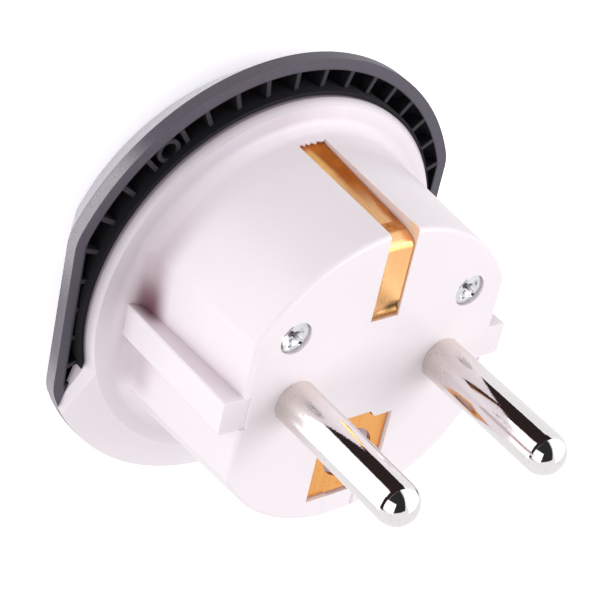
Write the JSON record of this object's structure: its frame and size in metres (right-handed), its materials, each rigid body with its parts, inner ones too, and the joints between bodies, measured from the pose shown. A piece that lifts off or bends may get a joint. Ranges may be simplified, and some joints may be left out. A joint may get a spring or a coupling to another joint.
{
  "type": "plug adapter",
  "caption": "Round two-pin plug adapter with side earth clips on a flanged barrel, and a shallow ribbed front shell with a flat-blade socket face.",
  "frame": {"origin": "centre of the socket face, which the adapter rests on", "axes": "+Z towards the plug pins, X along the pin pair, +Y towards the long earth clip"},
  "size_m": [0.0482, 0.0516, 0.0455],
  "materials": {
    "shell_plastic": "fine moulded satin",
    "body_plastic": "semi-gloss",
    "carrier_plastic": "matt",
    "pin_nickel": "polished nickel",
    "contact_brass": "bright",
    "clip_brass": "bright rolled",
    "screw_steel": "zinc plated"
  },
  "bodies": {
    "root": {"case_screw_left": "screw_steel", "case_screw_right": "screw_steel", "contact_carrier": "carrier_plastic", "earth_clip_lower": "clip_brass", "earth_clip_upper": "clip_brass", "earth_contact": "contact_brass", "earth_pin_sleeve": "contact_brass", "earth_strap": "contact_brass", "front_shell": "shell_plastic", "line_contact": "contact_brass", "neutral_contact": "contact_brass", "pin_left": "pin_nickel", "pin_right": "pin_nickel", "plug_body": "body_plastic"}
  },
  "joints": []
}
